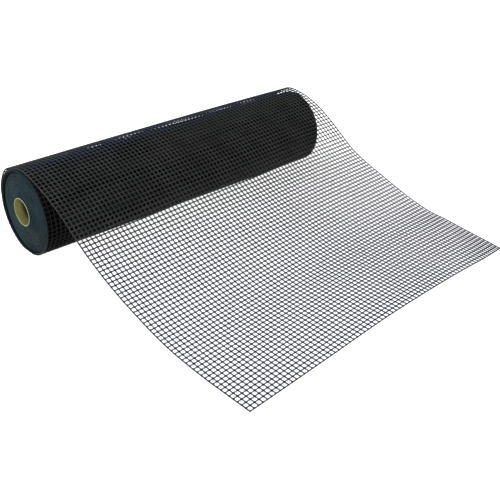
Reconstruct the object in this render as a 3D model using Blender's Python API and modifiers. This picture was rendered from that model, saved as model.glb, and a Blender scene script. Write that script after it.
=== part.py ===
"""Bird netting roll: black plastic net wound on a cardboard tube, with its loose end laid out on the floor.

Metres, +Z up. X runs along the roll and the loose end lies towards -Y. The origin is the middle of the
narrow flat on which the roll rests. An angle around the roll is counted from its top towards its back.
"""

import math
from collections import namedtuple

import bmesh
import bpy

# The net is an even square mesh of black strands, 77 meshes wide.
MESH_PITCH = 0.013
MESHES_WIDE = 77
NET_WIDTH = MESH_PITCH * MESHES_WIDE
NET_THICKNESS = 0.002
AIR = 0.0003

# The wound net is a slack spiral, so its outline grows by one turn on the way round.
ROLL_RADIUS = 0.1200
TURN_PITCH = 0.0026
ROOT_ANGLE = math.radians(80)
ROOT_GAP = math.radians(0.3)
FLAT_DEPTH = 0.0016

# The tube sits a little towards the back of the winding.
CORE_RADIUS = 0.0395
CORE_WALL = 0.003
CORE_BACK = 0.005
CORE_PROUD = 0.0025

# The dense inner turns have sunk a little forward and down inside the slack outer ones. At both ends
# their face slopes from just proud at the tube to a rim in a shallow recess behind the outer turns' edges.
DISC_RADIUS = 0.1134
DISC_FRONT = 0.004
DISC_DROP = 0.002
DISC_PROUD = 0.002
DISC_RECESS = 0.0055

# The loose end runs off the roll a little to the right of it.
SIDE_SHIFT = 0.0025
FRONT_DRIFT = 0.0055

# Facets: around the roll and the tube, across the loose end, and between two lines of a table.
ROLL_FACETS = 96
CORE_FACETS = 64
COLUMNS = 16
SECTION_STEPS = 2
ROW_STEPS = 4

# How much wider or narrower the roll is along its length, from its left end to its right.
RollSection = namedtuple("RollSection", "along widening")
ROLL_SECTIONS = (
    RollSection(0.00, 0.0006),
    RollSection(0.22, 0.0012),
    RollSection(0.48, 0.0001),
    RollSection(0.75, 0.0004),
    RollSection(1.00, -0.0010),
)

# Lines across the loose end, from its front edge to the top of the roll. Reach is how far in front of
# the roll's axis the line starts at the left edge, slant how much nearer it is at the right edge, and
# the rest is the height of the underside at five places across.
SheetRow = namedtuple("SheetRow", "reach slant left quarter middle three_quarter right")
SHEET_ROWS = (
    SheetRow(0.878, 0.038, 0.000, 0.008, 0.023, 0.022, 0.000),
    SheetRow(0.813, 0.038, 0.000, 0.008, 0.022, 0.023, 0.004),
    SheetRow(0.748, 0.038, 0.000, 0.009, 0.022, 0.025, 0.008),
    SheetRow(0.683, 0.038, 0.003, 0.009, 0.022, 0.027, 0.014),
    SheetRow(0.618, 0.038, 0.009, 0.012, 0.023, 0.029, 0.021),
    SheetRow(0.554, 0.038, 0.021, 0.021, 0.031, 0.038, 0.034),
    SheetRow(0.491, 0.038, 0.038, 0.037, 0.046, 0.054, 0.052),
    SheetRow(0.429, 0.039, 0.057, 0.056, 0.064, 0.073, 0.072),
    SheetRow(0.368, 0.039, 0.080, 0.080, 0.086, 0.093, 0.092),
    SheetRow(0.308, 0.038, 0.108, 0.108, 0.112, 0.117, 0.117),
    SheetRow(0.250, 0.035, 0.141, 0.141, 0.144, 0.150, 0.153),
    SheetRow(0.195, 0.033, 0.177, 0.178, 0.181, 0.185, 0.187),
    SheetRow(0.138, 0.033, 0.206, 0.208, 0.211, 0.214, 0.217),
    SheetRow(0.076, 0.033, 0.228, 0.231, 0.233, 0.234, 0.236),
    SheetRow(0.012, 0.034, 0.241, 0.245, 0.245, 0.243, 0.240),
)

# Lines further on, over the roll: an angle behind its top, and how far the net lies off the turn
# below at the same five places. The last one is where the loose end goes into the winding.
OverRoll = namedtuple("OverRoll", "angle left quarter middle three_quarter right")
OVER_ROLL = (
    OverRoll(math.radians(32), 0.0050, 0.0085, 0.0080, 0.0075, 0.0050),
    OverRoll(math.radians(56), 0.0030, 0.0045, 0.0045, 0.0045, 0.0030),
    OverRoll(ROOT_ANGLE, 0.0008, 0.0008, 0.0008, 0.0008, 0.0008),
)


def spline(values, t):
    """A smooth value at t, from 0 to 1, through values at equal steps."""
    place = min(max(t, 0.0), 1.0) * (len(values) - 1)
    i = min(int(place), len(values) - 2)
    s = place - i
    before = values[i - 1] if i > 0 else 3 * (values[0] - values[1]) + values[2]
    after = values[i + 2] if i + 2 < len(values) else 3 * (values[-1] - values[-2]) + values[-3]
    bend = 2 * before - 5 * values[i] + 4 * values[i + 1] - after
    twist = 3 * values[i] - before - 3 * values[i + 1] + after
    return values[i] + 0.5 * s * (values[i + 1] - before + s * (bend + s * twist))


def turn_radius(past_root):
    """The outermost turn's radius at an angle past the root, from nothing to a full turn."""
    return ROLL_RADIUS - TURN_PITCH * past_root / (2 * math.pi)


AXIS_HEIGHT = turn_radius(math.pi - ROOT_ANGLE) - FLAT_DEPTH


def roll_widening(along):
    """How much wider the roll is at a place from 0 to 1 along it."""
    for low, high in zip(ROLL_SECTIONS, ROLL_SECTIONS[1:]):
        if along <= high.along:
            share = (along - low.along) / (high.along - low.along)
            eased = share * share * (3 - 2 * share)
            return low.widening + eased * (high.widening - low.widening)
    return ROLL_SECTIONS[-1].widening


def around_axis(x, radius, angle, front=0.0, rise=0.0):
    """A point on a circle around the roll's axis, or around one that lies further forward or up."""
    y = radius * math.sin(angle) - front
    z = AXIS_HEIGHT + rise + radius * math.cos(angle)
    return (x, y, z)


def outline(x, along):
    """One closed section of the wound net, with the step at the root and the flat on the floor."""
    points = []
    for i in range(ROLL_FACETS):
        past_root = 2 * math.pi * i / (ROLL_FACETS - 1)
        radius = turn_radius(past_root) + roll_widening(along)
        x, y, z = around_axis(x, radius, ROOT_ANGLE + ROOT_GAP + past_root)
        points.append((x, y, max(z, 0.0)))
    return points


def ring(x, radius, front, rise):
    """A closed circle of as many points as the roll's outline, starting at the same angle."""
    step = 2 * math.pi / ROLL_FACETS
    start = ROOT_ANGLE + ROOT_GAP
    return [around_axis(x, radius, start + step * i, front, rise) for i in range(ROLL_FACETS)]


def loft(name, rings):
    """A tube of faces through closed rings of equal length, joined from the last ring to the first."""
    mesh = bmesh.new()
    loops = [[mesh.verts.new(point) for point in ring_points] for ring_points in rings]
    for near, far in zip(loops, loops[1:] + loops[:1]):
        for i in range(len(near)):
            j = (i + 1) % len(near)
            mesh.faces.new((near[i], near[j], far[j], far[i]))
    bmesh.ops.recalc_face_normals(mesh, faces=mesh.faces)
    return finish_mesh(name, mesh)


def finish_mesh(name, mesh):
    """Puts a bmesh into a new object in the part's collection."""
    data = bpy.data.meshes.new(name)
    mesh.to_mesh(data)
    mesh.free()
    made = bpy.data.objects.new(name, data)
    bpy.data.collections[COLLECTION].objects.link(made)
    return made


def paint(made, name, colour, roughness):
    """Gives an object its own plain material."""
    material = bpy.data.materials.new(name)
    material.use_nodes = True
    shader = material.node_tree.nodes["Principled BSDF"]
    shader.inputs["Base Color"].default_value = (*colour, 1.0)
    shader.inputs["Roughness"].default_value = roughness
    shader.inputs["Metallic"].default_value = 0.0
    made.data.materials.append(material)


def smooth(made, sharp_degrees):
    """Smooth shading, with edges sharper than the angle left crisp."""
    made.data.shade_smooth()
    made.data.set_sharp_from_angle(angle=math.radians(sharp_degrees))


def make_core_tube():
    """The cardboard tube: a wall profile turned about its own axis and laid along X."""
    half = NET_WIDTH / 2 + DISC_PROUD + CORE_PROUD
    inner = CORE_RADIUS - CORE_WALL
    profile = ((inner, half), (CORE_RADIUS, half), (CORE_RADIUS, -half), (inner, -half))
    mesh = bmesh.new()
    verts = [mesh.verts.new((radius, 0.0, height)) for radius, height in profile]
    for i in range(len(verts)):
        mesh.edges.new((verts[i], verts[(i + 1) % len(verts)]))
    tube = finish_mesh("core_tube", mesh)
    turn = tube.modifiers.new("turn", "SCREW")
    turn.steps = CORE_FACETS
    turn.render_steps = CORE_FACETS
    turn.use_merge_vertices = True
    turn.merge_threshold = 0.0001
    tube.rotation_euler = (0.0, math.radians(90), 0.0)
    tube.location = (0.0, CORE_BACK, AXIS_HEIGHT)
    paint(tube, "kraft_card", (0.46, 0.38, 0.14), 0.75)
    return tube


def make_net_roll():
    """The wound net: a loft of spiral sections, with the inner turns' sloping face at both ends."""
    half = NET_WIDTH / 2
    face = half + DISC_PROUD
    bore = CORE_RADIUS + AIR
    left_disc = DISC_RADIUS + roll_widening(0.0)
    right_disc = DISC_RADIUS + roll_widening(1.0)
    rings = [
        ring(-face, bore, -CORE_BACK, 0.0),
        ring(DISC_RECESS - half, left_disc, DISC_FRONT, -DISC_DROP),
        ring(-half, left_disc, DISC_FRONT, -DISC_DROP),
    ]
    spans = (len(ROLL_SECTIONS) - 1) * SECTION_STEPS
    for i in range(spans + 1):
        along = i / spans
        rings.append(outline(-half + NET_WIDTH * along, along))
    rings += [
        ring(half, right_disc, DISC_FRONT, -DISC_DROP),
        ring(half - DISC_RECESS, right_disc, DISC_FRONT, -DISC_DROP),
        ring(face, bore, -CORE_BACK, 0.0),
    ]
    roll = loft("net_roll", rings)
    smooth(roll, 30)
    paint(roll, "wound_netting", (0.018, 0.021, 0.024), 0.5)
    return roll


def sheet_line(across):
    """The loose end's middle surface along one line, from its front edge to its root, as (y, z) points."""
    line = []
    for row in SHEET_ROWS:
        height = spline(row[2:], across) + NET_THICKNESS / 2
        line.append((-row.reach + row.slant * across, height))
    for row in OVER_ROLL:
        below = turn_radius(2 * math.pi + row.angle - ROOT_ANGLE) + roll_widening(across)
        lift = spline(row[1:], across) + NET_THICKNESS / 2
        line.append(around_axis(0.0, below + lift, row.angle)[1:])
    return line


def sheet_point(across, along):
    """A point of the middle surface, from 0 to 1 across the net and from its front edge to its root."""
    line = sheet_line(across)
    y = spline([point[0] for point in line], along)
    z = spline([point[1] for point in line], along)
    drift = FRONT_DRIFT * max(-y, 0.0) / SHEET_ROWS[0].reach
    return (NET_WIDTH * (across - 0.5) + SIDE_SHIFT + drift, y, z)


def make_loose_end():
    """The loose end: a flat grid bent onto its lines, thickened to both sides."""
    mesh = bmesh.new()
    rows = (len(SHEET_ROWS) + len(OVER_ROLL) - 1) * ROW_STEPS
    bmesh.ops.create_grid(mesh, x_segments=COLUMNS, y_segments=rows, size=0.5)
    for vert in mesh.verts:
        vert.co = sheet_point(vert.co.x + 0.5, vert.co.y + 0.5)
    sheet = finish_mesh("loose_end", mesh)
    shell = sheet.modifiers.new("thickness", "SOLIDIFY")
    shell.thickness = NET_THICKNESS
    shell.offset = 0.0
    shell.use_even_offset = True
    smooth(sheet, 40)
    paint(sheet, "loose_netting", (0.018, 0.020, 0.022), 0.45)
    return sheet


COLLECTION = "bird_netting_roll"
for old in list(bpy.data.objects):
    bpy.data.objects.remove(old, do_unlink=True)
bpy.context.scene.collection.children.link(bpy.data.collections.new(COLLECTION))
make_core_tube()
make_net_roll()
make_loose_end()
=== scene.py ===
import math

import bmesh
import bpy
from mathutils import Matrix, Quaternion, Vector


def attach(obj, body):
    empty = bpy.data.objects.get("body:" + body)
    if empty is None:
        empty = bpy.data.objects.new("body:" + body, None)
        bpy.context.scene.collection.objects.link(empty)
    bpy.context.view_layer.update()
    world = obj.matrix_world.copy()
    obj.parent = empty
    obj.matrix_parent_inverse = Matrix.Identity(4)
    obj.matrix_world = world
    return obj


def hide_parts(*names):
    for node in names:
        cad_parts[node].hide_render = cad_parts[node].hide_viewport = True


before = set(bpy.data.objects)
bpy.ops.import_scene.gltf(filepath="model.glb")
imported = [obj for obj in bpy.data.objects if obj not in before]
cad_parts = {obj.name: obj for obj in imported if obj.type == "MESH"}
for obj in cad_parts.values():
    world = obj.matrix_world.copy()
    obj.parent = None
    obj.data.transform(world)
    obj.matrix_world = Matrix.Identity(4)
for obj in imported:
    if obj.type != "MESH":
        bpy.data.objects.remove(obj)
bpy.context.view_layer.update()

# The roll lies on a plain white studio floor under broad soft lights. The camera looks down at it from
# in front of its left end, so the loose end runs towards the lower right of the picture.
CAMERA_PLACE = Vector((-1.3985, -1.8326, 1.1296))
CAMERA_LOOKS = Vector((0.59486, 0.63392, -0.49425))
CAMERA_ROLL = math.radians(1.358)
CAMERA_LENS_MM = 59.81
SENSOR_MM = 36.0
PICTURE_GAMMA = 0.90
WHITE = (1.0, 1.0, 1.0, 1.0)
WORLD_GLOW = 0.5
LIGHTS_AIM = Vector((0.0, -0.3, 0.05))
FLOOR_HALF = 9.0
FLOOR_DROP = 0.0004
FLOOR_PAINT = (0.30, 0.30, 0.30, 1.0)
FLOOR_ROUGHNESS = 0.9
FLOOR_GLOW = 1.0

scene = bpy.context.scene
scene.view_settings.view_transform = "Standard"
scene.view_settings.gamma = PICTURE_GAMMA
lens = bpy.data.cameras.new("camera")
lens.lens = CAMERA_LENS_MM
lens.sensor_width = SENSOR_MM
camera = bpy.data.objects.new("camera", lens)
camera.location = CAMERA_PLACE
upright = CAMERA_LOOKS.to_track_quat("-Z", "Y")
camera.rotation_euler = (upright @ Quaternion((0.0, 0.0, 1.0), CAMERA_ROLL)).to_euler()
scene.collection.objects.link(camera)
scene.camera = camera

world = bpy.data.worlds.new("studio")
world.use_nodes = True
background = world.node_tree.nodes["Background"].inputs
background["Color"].default_value = WHITE
background["Strength"].default_value = WORLD_GLOW
scene.world = world


def soft_light(name, place, size, power):
    """A square studio light of a size in metres and a power in watts, aimed at the object."""
    data = bpy.data.lights.new(name, "AREA")
    data.size = size
    data.energy = power
    made = bpy.data.objects.new(name, data)
    made.location = place
    made.rotation_euler = (LIGHTS_AIM - Vector(place)).to_track_quat("-Z", "Y").to_euler()
    scene.collection.objects.link(made)


soft_light("overhead_light", place=(-0.8, 0.6, 3.2), size=2.0, power=140.0)
soft_light("front_light", place=(-2.6, -1.8, 2.4), size=1.4, power=95.0)


def finished(name, mesh):
    """Puts a finished bmesh into a new object at the origin."""
    data = bpy.data.meshes.new(name)
    mesh.to_mesh(data)
    mesh.free()
    made = bpy.data.objects.new(name, data)
    scene.collection.objects.link(made)
    return made


floor_mesh = bmesh.new()
bmesh.ops.create_grid(floor_mesh, x_segments=1, y_segments=1, size=FLOOR_HALF)
bmesh.ops.translate(floor_mesh, verts=floor_mesh.verts, vec=(0.0, 0.0, -FLOOR_DROP))
floor = finished("floor", floor_mesh)
floor_paint = bpy.data.materials.new("white_floor")
floor_paint.use_nodes = True
floor_shader = floor_paint.node_tree.nodes["Principled BSDF"].inputs
floor_shader["Base Color"].default_value = FLOOR_PAINT
floor_shader["Roughness"].default_value = FLOOR_ROUGHNESS
floor_shader["Emission Color"].default_value = WHITE
floor_shader["Emission Strength"].default_value = FLOOR_GLOW
floor_shader["Specular IOR Level"].default_value = 0.0
floor.data.materials.append(floor_paint)


# The core is a spiral-wound kraft paper tube, open at both ends, with its cut rims showing the plies.
# It sits a little towards the back of the winding and stands 2.5 mm proud of the turns on it.
CORE_RADIUS = 0.0395
CORE_WALL = 0.003
CORE_HALF = 0.505
CORE_Y = 0.006
AXIS_HEIGHT = 0.117678
CORE_STEPS = 96
CORE_SHARP = math.radians(50)
RIM_ROUNDING = 0.0006
MERGE_WITHIN = 0.00001
KRAFT_LIGHT = (0.215, 0.202, 0.060, 1.0)
KRAFT_DARK = (0.135, 0.122, 0.034, 1.0)
# Painted shade: the tube's inside away from its ends, its lower side and its covered outer wall take
# this colour.
KRAFT_SHADE = (0.012, 0.009, 0.003, 1.0)
KRAFT_CUT = (0.205, 0.228, 0.158, 1.0)
KRAFT_TONES = (0.25, 0.85)
KRAFT_ROUGHNESS = 0.62
KRAFT_RELIEF = 0.0003
KRAFT_BUMP = 0.8
KRAFT_SHINE = 0.3
FIBRE_STRETCH = (0.35, 1.0, 1.0)
FIBRE_SCALE = 420.0
FIBRE_TONE = 0.5
FIBRE_ROUGHNESS = 0.25
FIBRE_HEIGHT = 0.25
BLOTCH_SCALE = 28.0
BLOTCH_TONE = 0.6
SEAM_LEAD = 0.30
SEAMS = 2.0
SEAM_RAMP = (0.0048, 0.0120)
SEAM_TONE = 0.5
PLY = 0.0005
PLY_HEIGHT = 0.15
# A ramp is where a mask begins and where it is full. These show the bare and cut paper at the ends, and
# paint shade on the tube deeper inside and lower down, and where the turns cover it.
OUTSIDE_RAMP = (CORE_RADIUS - 0.0006, CORE_RADIUS - 0.0003)
CUT_RAMP = (CORE_HALF - 0.00084, CORE_HALF - 0.00036)
BARE_RAMP = (CORE_HALF - 0.00143, CORE_HALF - 0.00130)
INSIDE_SHADE_RAMP = (0.014, 0.030)
SHADE_RAMP = (0.010, 0.040)
SHADE_SHARE = 0.45


class Socket:
    """A node's output in a material. Sums on it add Math nodes, and node() adds any other node."""

    def __init__(self, link):
        self.link = link

    def node(self, kind, settings, sockets, output=0):
        """Adds a node: its settings first, then the values or links of its sockets."""
        tree = self.link.id_data
        made = tree.nodes.new(kind)
        for name, value in settings.items():
            setattr(made, name, value)
        for name, value in sockets.items():
            if isinstance(value, Socket):
                tree.links.new(value.link, made.inputs[name])
            else:
                made.inputs[name].default_value = value
        return Socket(made.outputs[output])

    def math(self, operation, *values):
        """A Math node on this value and others."""
        sockets = dict(enumerate((self, *values)))
        return self.node("ShaderNodeMath", {"operation": operation}, sockets)

    def __add__(self, other):
        return self.math("ADD", other)

    def __radd__(self, other):
        return self.math("ADD", other)

    def __sub__(self, other):
        return self.math("SUBTRACT", other)

    def __rsub__(self, other):
        return self.math("MULTIPLY_ADD", -1.0, other)

    def __mul__(self, other):
        return self.math("MULTIPLY", other)

    def __rmul__(self, other):
        return self.math("MULTIPLY", other)

    def __truediv__(self, other):
        return self.math("DIVIDE", other)

    def __pow__(self, other):
        return self.math("POWER", other)

    def __abs__(self):
        return self.math("ABSOLUTE")

    def __neg__(self):
        return self.math("MULTIPLY", -1.0)

    def axes(self):
        """The three parts of a vector."""
        parts = self.link.id_data.nodes.new("ShaderNodeSeparateXYZ")
        self.link.id_data.links.new(self.link, parts.inputs[0])
        return [Socket(output) for output in parts.outputs]

    def noise(self, scale, detail=3.0, roughness=0.5):
        """Smooth noise of this position, from 0 to 1."""
        sockets = {"Vector": self, "Scale": scale, "Detail": detail, "Roughness": roughness}
        return self.node("ShaderNodeTexNoise", {}, sockets)

    def ramp(self, low, high):
        """0 below low, 1 above high and smooth between them."""
        sockets = {"Value": self, "From Min": low, "From Max": high}
        return self.node("ShaderNodeMapRange", {"interpolation_type": "SMOOTHSTEP"}, sockets)

    def mix(self, first, second):
        """The first colour where this value is 0 and the second where it is 1."""
        sockets = {0: self, 6: first, 7: second}
        return self.node("ShaderNodeMix", {"data_type": "RGBA"}, sockets, output=2)

    def bump(self, distance, strength):
        """A Bump node on this height, for a relief of a distance in metres."""
        sockets = {"Height": self, "Distance": distance, "Strength": strength}
        return self.node("ShaderNodeBump", {}, sockets, output="Normal")


def new_finish(name):
    """A new material: the material itself, its main shader's sockets, and the place on the object."""
    material = bpy.data.materials.new(name)
    material.use_nodes = True
    nodes = material.node_tree.nodes
    place = Socket(nodes.new("ShaderNodeTexCoord").outputs["Object"])
    return material, nodes["Principled BSDF"].inputs, place


def feed(target, value):
    """Links a varying value to a socket of the shader."""
    value.link.id_data.links.new(value.link, target)


def from_centre(y, z, centre_y, centre_z):
    """The distance of a place from a line along the roll."""
    return ((y - centre_y) ** 2.0 + (z - centre_z) ** 2.0) ** 0.5


def kraft_paper():
    """Yellow-brown paper with a helical seam and fibres, pale where it is cut, with painted shade deep
    inside, lower down and where the turns cover it.
    """
    material, shader, place = new_finish("kraft_paper")
    x, y, z = place.axes()
    turn = (z - AXIS_HEIGHT).math("ARCTAN2", y - CORE_Y) / (2 * math.pi)
    winding = ((x / SEAM_LEAD + turn) * SEAMS).math("FRACT")
    seam = 1 - abs(winding - 0.5).ramp(*SEAM_RAMP)
    stretched = place.node("ShaderNodeMapping", {}, {"Vector": place, "Scale": FIBRE_STRETCH})
    fibre = stretched.noise(FIBRE_SCALE, detail=4.0, roughness=0.6)
    blotch = place.noise(BLOTCH_SCALE)
    tone = fibre * FIBRE_TONE + blotch * BLOTCH_TONE - seam * SEAM_TONE
    paper = tone.ramp(*KRAFT_TONES).mix(KRAFT_DARK, KRAFT_LIGHT)
    radius = from_centre(y, z, CORE_Y, AXIS_HEIGHT)
    outside = radius.ramp(*OUTSIDE_RAMP)
    # Painted shade, darker deeper inside the tube, lower down, and on the outer wall under the turns.
    dark = (CORE_HALF - abs(x)).ramp(*INSIDE_SHADE_RAMP)
    dark = dark.math("MAXIMUM", (AXIS_HEIGHT - z).ramp(*SHADE_RAMP) * SHADE_SHARE)
    paper = dark.math("MAXIMUM", outside).mix(paper, KRAFT_SHADE)
    cut = abs(x).ramp(*CUT_RAMP)
    bare = abs(x).ramp(*BARE_RAMP) * outside
    feed(shader["Base Color"], cut.math("MAXIMUM", bare).mix(paper, KRAFT_CUT))
    plies = (radius * (2 * math.pi / PLY)).math("SINE") * cut
    height = fibre * FIBRE_HEIGHT - seam + plies * PLY_HEIGHT
    feed(shader["Normal"], height.bump(KRAFT_RELIEF, KRAFT_BUMP))
    feed(shader["Roughness"], KRAFT_ROUGHNESS + fibre * FIBRE_ROUGHNESS)
    shader["Specular IOR Level"].default_value = KRAFT_SHINE
    return material


core_mesh = bmesh.new()
profile = []
for radius, end in (
    (CORE_RADIUS, -1),
    (CORE_RADIUS, 1),
    (CORE_RADIUS - CORE_WALL, 1),
    (CORE_RADIUS - CORE_WALL, -1),
):
    profile.append(core_mesh.verts.new((end * CORE_HALF, 0.0, radius)))
wall = [core_mesh.edges.new((profile[i], profile[(i + 1) % 4])) for i in range(4)]
bmesh.ops.spin(
    core_mesh,
    geom=profile + wall,
    cent=(0.0, 0.0, 0.0),
    axis=(1.0, 0.0, 0.0),
    angle=2 * math.pi,
    steps=CORE_STEPS,
    use_merge=True,
)
bmesh.ops.remove_doubles(core_mesh, verts=core_mesh.verts, dist=MERGE_WITHIN)
rim_edges = []
for edge in core_mesh.edges:
    near, far = (vert.co for vert in edge.verts)
    if abs(near.x - far.x) + abs(near.yz.length - far.yz.length) < MERGE_WITHIN:
        rim_edges.append(edge)
bmesh.ops.bevel(
    core_mesh,
    geom=rim_edges,
    offset=RIM_ROUNDING,
    segments=2,
    profile=0.5,
    affect="EDGES",
    material=-1,
)
bmesh.ops.recalc_face_normals(core_mesh, faces=core_mesh.faces)
bmesh.ops.translate(core_mesh, verts=core_mesh.verts, vec=(0.0, CORE_Y, AXIS_HEIGHT))
core = finished("core", core_mesh)
core.data.shade_smooth()
core.data.set_sharp_from_angle(angle=CORE_SHARP)
core.data.materials.append(kraft_paper())
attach(core, "root")
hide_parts("core_tube")


# The dense turns are wound tight on the tube and make a nearly solid black body. At both ends their face
# slopes from the tube to a rim in a shallow recess, behind the edges of the slack outer turns.
MESH_PITCH = 0.013
MESHES_WIDE = 77
NET_WIDTH = MESH_PITCH * MESHES_WIDE
ROLL_RADIUS = 0.1200
TURN_PITCH = 0.0026
ROOT_ANGLE = math.radians(80)
# Places from 0 to 1 along the roll, and how much wider it is there.
ROLL_WIDENING = ((0.00, 0.0006), (0.22, 0.0012), (0.48, 0.0001), (0.75, 0.0004), (1.00, -0.0010))
# How far the turns bulge out behind the roll's top, or sag there, at 5 places along it.
BULGE = (0.0022, -0.0052, -0.0068, -0.0068, -0.0060)
BULGE_ANGLE = math.radians(40)
BULGE_SHARPNESS = 6
BODY_BELOW = 0.0038
BODY_STEPS = 96
BODY_SHARP = math.radians(35)
BODY_PLACES = (-1.0, -0.9, -0.8, -0.7, -0.55, -0.3, 0.0, 0.3, 0.6, 1.0)
END_BELOW = 0.0020
END_FLARE = 0.020
TUBE_GAP = 0.0003
DISC_RADIUS = 0.1134
DISC_FRONT = 0.004
DISC_DROP = 0.002
DISC_PROUD = 0.002
DISC_RECESS = 0.0055
RIM_INSET = 0.0012
FACE_X = NET_WIDTH / 2 + DISC_PROUD
DISC_X = NET_WIDTH / 2 - DISC_RECESS
RIM_X = NET_WIDTH / 2 - RIM_INSET
# Painted shade: the holes between the packed strands are near black, for the shade deep in the winding.
HOLE_SHADE = (0.0008, 0.0008, 0.0008, 1.0)
PACKED_GREY = (0.0030, 0.0030, 0.0030, 1.0)
PACKED_TONE = 0.35
PACKED_ROUGHNESS = 0.75
PACKED_RELIEF = 0.0012
PACKED_BUMP = 0.9
PACKED_SHINE = 0.02
STRAND_RAMP = (0.10, 0.34)
STRAND_GLOSS = 0.25
SKEW_SCALE = 9.0
SKEW = 0.8
DEEPER_RAMP = (0.10, 0.30)
DEEPER_PHASE = 1.1
DEEPER_SHADED_SHARE = 0.6
FLECK_SCALE = 260.0
FLECK_TONE = 0.8
RIM_NAVY = (0.005, 0.005, 0.009, 1.0)
NAVY_RAMP = (NET_WIDTH / 2 - 0.00240, NET_WIDTH / 2 - 0.00144)
END_SLATE = (0.007, 0.013, 0.015, 1.0)
SLATE_RAMP = (DISC_X - 0.002, DISC_X - 0.001)
# The slate ends between these radii, around the dense turns' own centre and around the roll's axis.
SLATE_ON_DISC = (0.1130, 0.1136)
SLATE_ON_EDGES = (0.1162, 0.1172)


def smooth_through(values, t):
    """A value at t, from 0 to 1, on a Catmull-Rom curve through values at equal steps."""
    place = min(max(t, 0.0), 1.0) * (len(values) - 1)
    i = min(int(place), len(values) - 2)
    s = place - i
    before = values[i - 1] if i > 0 else 3 * (values[0] - values[1]) + values[2]
    after = values[i + 2] if i + 2 < len(values) else 3 * (values[-1] - values[-2]) + values[-3]
    bend = 2 * before - 5 * values[i] + 4 * values[i + 1] - after
    twist = 3 * values[i] - before - 3 * values[i + 1] + after
    return values[i] + 0.5 * s * (values[i + 1] - before + s * (bend + s * twist))


def roll_widening(along):
    """How much wider the roll is at a place from 0 to 1 along it."""
    along = min(max(along, 0.0), 1.0)
    for low, high in zip(ROLL_WIDENING, ROLL_WIDENING[1:]):
        if along <= high[0]:
            share = (along - low[0]) / (high[0] - low[0])
            eased = share * share * (3 - 2 * share)
            return low[1] + eased * (high[1] - low[1])


def turn_radius(past_root, along):
    """The wound net's radius at an angle past the root, where the loose end goes into the winding."""
    facing = max(math.cos(ROOT_ANGLE + past_root - BULGE_ANGLE), 0.0)
    bulge = facing ** BULGE_SHARPNESS * smooth_through(BULGE, along)
    return ROLL_RADIUS - TURN_PITCH * past_root / (2 * math.pi) + roll_widening(along) + bulge


def body_ring(mesh, x, radius, y=0.0, z=AXIS_HEIGHT):
    """A ring of edges across the roll, around a centre."""
    upright = Matrix.Rotation(math.radians(90), 4, "Y")
    place = Matrix.Translation((x, y, z)) @ upright
    made = bmesh.ops.create_circle(mesh, segments=BODY_STEPS, radius=radius, matrix=place)
    return list({edge for vert in made["verts"] for edge in vert.link_edges})


def outline_ring(mesh, x, below):
    """A ring of edges around the body, a depth below the slack turns."""
    ring = body_ring(mesh, x, 1.0)
    for vert in {vert for edge in ring for vert in edge.verts}:
        angle = math.atan2(vert.co.y, vert.co.z - AXIS_HEIGHT)
        radius = turn_radius((angle - ROOT_ANGLE) % (2 * math.pi), x / NET_WIDTH + 0.5) - below
        vert.co.y *= radius
        vert.co.z = AXIS_HEIGHT + (vert.co.z - AXIS_HEIGHT) * radius
    return ring


def packed_net():
    """Black nets seen through each other, with painted shade in the holes and on the deeper strands,
    slate on the end faces and navy on their outer rims.
    """
    material, shader, place = new_finish("packed_net")
    x, y, z = place.axes()
    angle = (z - AXIS_HEIGHT).math("ARCTAN2", y)
    columns = abs(((x / MESH_PITCH + place.noise(SKEW_SCALE) * SKEW) * math.pi).math("SINE"))
    rows = abs((angle * (ROLL_RADIUS / MESH_PITCH / 2)).math("SINE"))
    strand = 1 - columns.math("MINIMUM", rows).ramp(*STRAND_RAMP)
    # Strands of deeper turns, painted dimmer than the top strands as shade.
    deeper = 1 - abs((x / MESH_PITCH * math.pi + DEEPER_PHASE).math("SINE")).ramp(*DEEPER_RAMP)
    strand = strand.math("MAXIMUM", deeper * DEEPER_SHADED_SHARE)
    fleck = place.noise(FLECK_SCALE, detail=2.0)
    # Painted shade: the holes take the near-black colour, the strands the grey.
    turns = (strand * (PACKED_TONE + fleck * FLECK_TONE)).mix(HOLE_SHADE, PACKED_GREY)
    turns = abs(x).ramp(*NAVY_RAMP).mix(turns, RIM_NAVY)
    on_disc = 1 - from_centre(y, z, -DISC_FRONT, AXIS_HEIGHT - DISC_DROP).ramp(*SLATE_ON_DISC)
    on_edges = 1 - from_centre(y, z, 0.0, AXIS_HEIGHT).ramp(*SLATE_ON_EDGES)
    end = abs(x).ramp(*SLATE_RAMP) * on_disc.math("MAXIMUM", on_edges)
    feed(shader["Base Color"], end.mix(turns, END_SLATE))
    feed(shader["Roughness"], PACKED_ROUGHNESS - strand * STRAND_GLOSS)
    feed(shader["Normal"], strand.bump(PACKED_RELIEF, PACKED_BUMP))
    shader["Specular IOR Level"].default_value = PACKED_SHINE
    return material


body_mesh = bmesh.new()
rings = []
for side in (-1, 1):
    disc_radius = DISC_RADIUS + roll_widening((side + 1) / 2)
    disc_height = AXIS_HEIGHT - DISC_DROP
    end_rings = [
        body_ring(body_mesh, side * FACE_X, CORE_RADIUS + TUBE_GAP, CORE_Y),
        body_ring(body_mesh, side * DISC_X, disc_radius, -DISC_FRONT, disc_height),
        body_ring(body_mesh, side * RIM_X, disc_radius, -DISC_FRONT, disc_height),
        outline_ring(body_mesh, side * RIM_X, END_BELOW),
    ]
    if side < 0:
        rings += end_rings
        for share in BODY_PLACES:
            rings.append(outline_ring(body_mesh, share * (RIM_X - END_FLARE), BODY_BELOW))
    else:
        rings += reversed(end_rings)
for near, far in zip(rings, rings[1:] + rings[:1]):
    bmesh.ops.bridge_loops(body_mesh, edges=near + far)
bmesh.ops.recalc_face_normals(body_mesh, faces=body_mesh.faces)
body = finished("wound_body", body_mesh)
body.data.shade_smooth()
body.data.set_sharp_from_angle(angle=BODY_SHARP)
body.data.materials.append(packed_net())
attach(body, "root")
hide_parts("net_roll")


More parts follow.
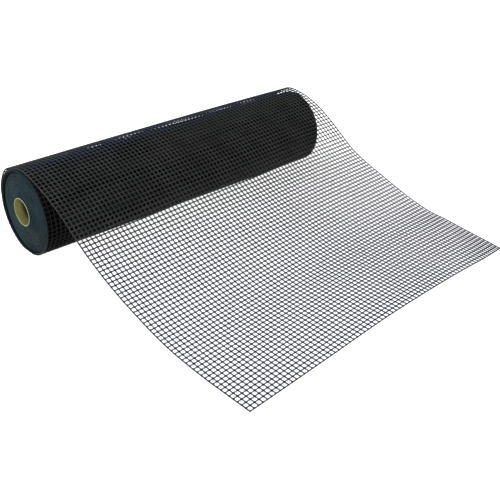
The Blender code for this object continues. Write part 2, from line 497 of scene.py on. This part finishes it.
# At each end face the edge strands of all the dense turns show as one long spiral. It starts on the tube
# and ends at the face's rim, so its turns are closest where the tube is nearest to the rim.
END_TURNS = 25
END_STEP = 0.006
END_STRAND = 0.00095
END_MARGIN = 0.00114
# The height, the rate and the drift of the waves that lift the spiral off the face.
END_WAVES = ((0.0004, 2.5, 7.0), (0.0003, 3.3, 0.0))
END_THICKENING = 0.2
THICKENING_RATE = 13.7
STRAND_SLATE = (0.024, 0.046, 0.054, 1.0)
STRAND_SLATE_DARK = (0.012, 0.024, 0.028, 1.0)
CLOUD_SCALE = 16.0
CLOUD_TONE = 0.9
GRAIN_SCALE = 900.0
GRAIN_TONE = 0.5
GRAIN_ROUGHNESS = 0.2
PLASTIC_TONES = (0.35, 1.0)
PLASTIC_ROUGHNESS = 0.4
PLASTIC_RELIEF = 0.00012
PLASTIC_BUMP = 0.6
PLASTIC_SHINE = 0.1
TOP_SHEEN_RAMP = (0.238, 0.248)
FLOOR_TINT_RAMP = (0.235, 0.385)
CAP_GAP = 0.000001
# Bevel resolutions that give a strand six sides or four.
SIX_SIDES = 1
FOUR_SIDES = 0


def net_plastic(name, light, dark, floor_tint=None, top_sheen=None):
    """Extruded plastic: satin, a little uneven, tinted on the floor, and with a painted blue sheen on
    top of the roll.
    """
    material, shader, place = new_finish(name)
    cloud = place.noise(CLOUD_SCALE)
    grain = place.noise(GRAIN_SCALE, detail=2.0)
    tone = cloud * CLOUD_TONE + grain * GRAIN_TONE
    colour = tone.ramp(*PLASTIC_TONES).mix(dark, light)
    if floor_tint:
        x, y, z = place.axes()
        # Painted sheen: a bluish band where the net crests the roll's top.
        colour = z.ramp(*TOP_SHEEN_RAMP).mix(colour, top_sheen)
        colour = (-y).ramp(*FLOOR_TINT_RAMP).mix(colour, floor_tint)
    feed(shader["Base Color"], colour)
    feed(shader["Roughness"], PLASTIC_ROUGHNESS + grain * GRAIN_ROUGHNESS)
    feed(shader["Normal"], grain.bump(PLASTIC_RELIEF, PLASTIC_BUMP))
    shader["Specular IOR Level"].default_value = PLASTIC_SHINE
    return material


def strands(name, lines, radius, sides, material):
    """Round strands along lines of (place, thickness share), as one mesh with closed ends."""
    curve = bpy.data.curves.new(name, "CURVE")
    curve.dimensions = "3D"
    curve.bevel_depth = radius
    curve.bevel_resolution = sides
    curve.use_fill_caps = True
    for line in lines:
        spline = curve.splines.new("POLY")
        spline.points.add(len(line) - 1)
        for point, (place, share) in zip(spline.points, line):
            point.co = (*place, 1.0)
            point.radius = share
    drawn = bpy.data.objects.new(name + "_lines", curve)
    scene.collection.objects.link(drawn)
    bpy.context.view_layer.update()
    shaped = drawn.evaluated_get(bpy.context.evaluated_depsgraph_get())
    data = bpy.data.meshes.new_from_object(shaped)
    data.name = name
    bpy.data.objects.remove(drawn)
    bpy.data.curves.remove(curve)
    tubes = bmesh.new()
    tubes.from_mesh(data)
    open_ends = [vert for vert in tubes.verts if vert.is_boundary]
    bmesh.ops.remove_doubles(tubes, verts=open_ends, dist=CAP_GAP)
    bmesh.ops.recalc_face_normals(tubes, faces=tubes.faces)
    tubes.to_mesh(data)
    tubes.free()
    data.materials.clear()
    data.materials.append(material)
    data.shade_smooth()
    made = bpy.data.objects.new(name, data)
    scene.collection.objects.link(made)
    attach(made, "root")
    return made


def end_spiral(side):
    """The line of the edge strand on the left (-1) or right (1) end face."""
    line = []
    inner = CORE_RADIUS + END_STRAND
    outer = DISC_RADIUS + roll_widening((side + 1) / 2) - END_MARGIN
    angle = 0.0
    while angle < END_TURNS * 2 * math.pi:
        share = angle / (END_TURNS * 2 * math.pi)
        radius = inner + (outer - inner) * share
        x = side * (FACE_X + share * (DISC_X - FACE_X))
        for height, rate, drift in END_WAVES:
            x += height * math.sin(rate * angle + drift * share)
        y = CORE_Y - share * (CORE_Y + DISC_FRONT) + radius * math.sin(angle)
        z = AXIS_HEIGHT - share * DISC_DROP + radius * math.cos(angle)
        line.append(((x, y, z), 1.0 + END_THICKENING * math.sin(angle * THICKENING_RATE)))
        angle += END_STEP / radius
    return line


slate_strand = net_plastic("slate_strand", STRAND_SLATE, STRAND_SLATE_DARK)
for name, side in (("left", -1), ("right", 1)):
    line = end_spiral(side)
    spiral = strands(name + "_end_spiral", [line], END_STRAND, SIX_SIDES, slate_strand)
    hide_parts("net_roll")


# The net is one extruded square mesh, 77 meshes of 13 mm wide, with a plain edge strand. Its last two
# turns lie slack around the body. Their edges show slate around the end faces, as the dense turns' do.
STRAND = 0.00155
SLACK_TURNS = 2
LOOSE_ROWS = 86
# The inner slack turn's colours are painted darker than the outer turn's: painted shade under the outer
# turn.
TURN_BLACK_AND_SHADE = ((0.0140, 0.0138, 0.0136, 1.0), (0.0030, 0.0030, 0.0030, 1.0))
TURN_BLACK_DARK_AND_SHADE = ((0.0050, 0.0050, 0.0050, 1.0), (0.0015, 0.0015, 0.0015, 1.0))
# The net's path has 10 steps between the rows below and 96 a turn, and 0.4 of a turn to spare.
PATH_STEPS = 10
TURN_STEPS = 96
SPARE_TURN = 0.4
# Shares of the thickness: at crossings, between them, and of edge strands. It grows at the roll's foot,
# around the 85th half mesh from the front, but not under its right end, and shrinks at the right.
NODE_SHARE = 1.18
SPAN_SHARE = 0.90
EDGE_SHARE = 1.10
FOOT_SHARE = 0.13
FOOT_POINT = 85
FOOT_POINTS = 60
FOOT_FADES_FROM = 0.6
FOOT_FADES_OVER = 0.3
RIGHT_SHARE = 0.07
RIGHT_FROM = 0.65
# Shifts at 8 places across: sideways at the roll and at the front edge, and of that edge backwards.
SIDE_AT_ROLL = (0.0005, -0.0030, -0.0030, 0.0005, 0.0035, 0.0040, 0.0030, 0.0020)
SIDE_AT_FRONT = (0.0080, 0.0090, 0.0075, 0.0080, 0.0100, 0.0055, 0.0090, 0.0075)
FRONT_BACK = (-0.0005, 0.0015, 0.0020, 0.0005, -0.0020, -0.0030, -0.0020, 0.0)
# The right front corner is drawn in and back, and its columns' meshes are a little shorter.
CORNER_FROM = 0.84
CORNER_IN = 0.0125
CORNER_BACK = 0.0080
CORNER_SHRINK = 0.012
# The reach in front of the axis, how much less it is at the right edge, and 5 heights across.
SHEET_ROWS = (
    (0.878, 0.038, 0.000, 0.008, 0.023, 0.022, 0.000),
    (0.813, 0.038, 0.000, 0.008, 0.022, 0.023, 0.006),
    (0.748, 0.038, 0.000, 0.009, 0.022, 0.025, 0.011),
    (0.683, 0.038, 0.003, 0.009, 0.022, 0.027, 0.017),
    (0.618, 0.038, 0.009, 0.012, 0.023, 0.029, 0.021),
    (0.554, 0.038, 0.021, 0.021, 0.031, 0.038, 0.034),
    (0.491, 0.038, 0.038, 0.037, 0.046, 0.054, 0.052),
    (0.429, 0.039, 0.057, 0.056, 0.064, 0.073, 0.072),
    (0.368, 0.039, 0.080, 0.080, 0.086, 0.093, 0.092),
    (0.308, 0.038, 0.108, 0.108, 0.112, 0.117, 0.117),
    (0.250, 0.035, 0.141, 0.141, 0.144, 0.150, 0.153),
    (0.195, 0.033, 0.177, 0.178, 0.181, 0.185, 0.187),
    (0.138, 0.033, 0.206, 0.208, 0.211, 0.214, 0.217),
    (0.076, 0.033, 0.228, 0.231, 0.233, 0.234, 0.236),
    (0.012, 0.034, 0.241, 0.245, 0.245, 0.243, 0.240),
)
# Degrees past the roll's top, and 5 gaps across between the net and the slack turns there.
OVER_ROLL = (
    (32, 0.0020, 0.0096, 0.0127, 0.0118, 0.0079),
    (56, 0.0015, 0.0060, 0.0079, 0.0079, 0.0060),
    (80, 0.0008, 0.0008, 0.0008, 0.0008, 0.0008),
)


def corner_share(across):
    """How far a place across the net is drawn in with the right front corner, up to 1 at the edge."""
    return (max(across - CORNER_FROM, 0.0) / (1.0 - CORNER_FROM)) ** 2


def path_of_net(across):
    """The net's run at one place across it, from its front edge over the roll and around the body."""
    reaches = []
    heights = []
    for reach, slant, *row in SHEET_ROWS:
        reaches.append(-reach + slant * across)
        heights.append(smooth_through(row, across) + STRAND)
    for degrees, *lifts in OVER_ROLL:
        angle = math.radians(degrees)
        radius = turn_radius(2 * math.pi + angle - ROOT_ANGLE, across)
        radius += smooth_through(lifts, across) + STRAND
        reaches.append(radius * math.sin(angle))
        heights.append(AXIS_HEIGHT + radius * math.cos(angle))
    middle = NET_WIDTH * (across - 0.5)
    at_roll = smooth_through(SIDE_AT_ROLL, across)
    at_front = smooth_through(SIDE_AT_FRONT, across) - CORNER_IN * corner_share(across)
    path = []
    steps = (len(reaches) - 1) * PATH_STEPS
    for i in range(steps + 1):
        y = smooth_through(reaches, i / steps)
        z = smooth_through(heights, i / steps)
        drawn = max(-y, 0.0) / SHEET_ROWS[0][0]
        path.append(Vector((middle + at_roll * (1 - drawn) + at_front * drawn, y, z)))
    for i in range(1, int(TURN_STEPS * (SLACK_TURNS + SPARE_TURN)) + 1):
        past_root = 2 * math.pi * i / TURN_STEPS
        radius = turn_radius(past_root, across) - STRAND
        angle = ROOT_ANGLE + past_root
        x = middle + at_roll * max(1 - past_root / math.pi, 0.0)
        z = max(AXIS_HEIGHT + radius * math.cos(angle), STRAND)
        path.append(Vector((x, radius * math.sin(angle), z)))
    return path


def even_steps(path, step, count, start):
    """Points at equal steps along a path, from a start a little before or after the path's own."""
    points = []
    travelled = -start
    for near, far in zip(path, path[1:]):
        length = (far - near).length
        while travelled + length >= step * len(points) and len(points) < count:
            points.append(near.lerp(far, (step * len(points) - travelled) / length))
        travelled += length
    return points


# Half a mesh lies between neighbouring points, so the even ones are the net's nodes.
turn_rows = int(2 * math.pi * (ROLL_RADIUS - STRAND) / MESH_PITCH)
net_rows = LOOSE_ROWS + turn_rows * SLACK_TURNS
net = []
for column in range(2 * MESHES_WIDE + 1):
    across = column / (2 * MESHES_WIDE)
    start = smooth_through(FRONT_BACK, across) + CORNER_BACK * corner_share(across)
    half_mesh = MESH_PITCH / 2 * (1.0 - CORNER_SHRINK * corner_share(across))
    net.append(even_steps(path_of_net(across), half_mesh, 2 * net_rows + 1, start))


def thickness(column, row, edge):
    """A strand's thickness share: more at crossings and near the roll's foot, less at the right."""
    share = NODE_SHARE if column % 2 == 0 and row % 2 == 0 else SPAN_SHARE
    across = column / (2 * MESHES_WIDE)
    foot = max(1.0 - abs(row - FOOT_POINT) / FOOT_POINTS, 0.0)
    foot *= 1.0 - min(max((across - FOOT_FADES_FROM) / FOOT_FADES_OVER, 0.0), 1.0)
    right = max(across - RIGHT_FROM, 0.0) / (1.0 - RIGHT_FROM)
    share *= 1.0 + FOOT_SHARE * foot - RIGHT_SHARE * right
    return share * (EDGE_SHARE if edge else 1.0)


def lengthwise(first, last, step, columns=range(0, 2 * MESHES_WIDE + 1, 2)):
    """The strands that run along the net, from one row to another."""
    lines = []
    for column in columns:
        edge = column in (0, len(net) - 1)
        rows = range(2 * first, 2 * last + 1, step)
        lines.append([(net[column][row], thickness(column, row, edge)) for row in rows])
    return lines


def crosswise(first, last, step):
    """The strands that run across the net."""
    lines = []
    for row in range(2 * first, 2 * last + 1, 2):
        columns = range(0, len(net), step)
        lines.append([(net[column][row], thickness(column, row, False)) for column in columns])
    return lines


# Each turn leaves out the cross strand that it shares with the net before it.
dark_slate_strand = net_plastic("dark_slate_strand", STRAND_SLATE_DARK, END_SLATE)
for turn in range(SLACK_TURNS):
    first = LOOSE_ROWS + turn_rows * turn
    last = first + turn_rows
    spacing = 1 if turn == 0 else 2
    lines = lengthwise(first, last, spacing, range(2, len(net) - 2, 2))
    lines += crosswise(first + 1, last, spacing)
    # The inner turn's material is the outer one's, painted darker as shade.
    turn_strand = net_plastic(f"turn_strand_{turn + 1}", TURN_BLACK_AND_SHADE[turn], TURN_BLACK_DARK_AND_SHADE[turn])
    inner = strands(f"slack_turn_{turn + 1}", lines, STRAND, FOUR_SIDES, turn_strand)
    lines = lengthwise(first, last, spacing, (0, len(net) - 1))
    edges = strands(f"slack_turn_edges_{turn + 1}", lines, STRAND, FOUR_SIDES, dark_slate_strand)
    for piece in (inner, edges):
        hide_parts("net_roll")


# The loose end is the same net, drawn off over the roll's top and down in a long S to the floor. The
# strands that run along it and those across it are two pieces, and its front edge is cut.
NET_BLACK = (0.030, 0.032, 0.031, 1.0)
NET_BLACK_DARK = (0.014, 0.015, 0.015, 1.0)
NET_NAVY = (0.009, 0.011, 0.028, 1.0)
# A painted sheen of blue light on the net where it crests the roll.
NET_TOP_SHEEN = (0.022, 0.028, 0.042, 1.0)

black_strand = net_plastic("black_strand", NET_BLACK, NET_BLACK_DARK, NET_NAVY, NET_TOP_SHEEN)
lines = lengthwise(0, LOOSE_ROWS, 1)
loose_along = strands("loose_net", lines, STRAND, SIX_SIDES, black_strand)
lines = crosswise(0, LOOSE_ROWS, 1)
loose_across = strands("loose_net_cross_strands", lines, STRAND, SIX_SIDES, black_strand)
for piece in (loose_along, loose_across):
    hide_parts("loose_end")
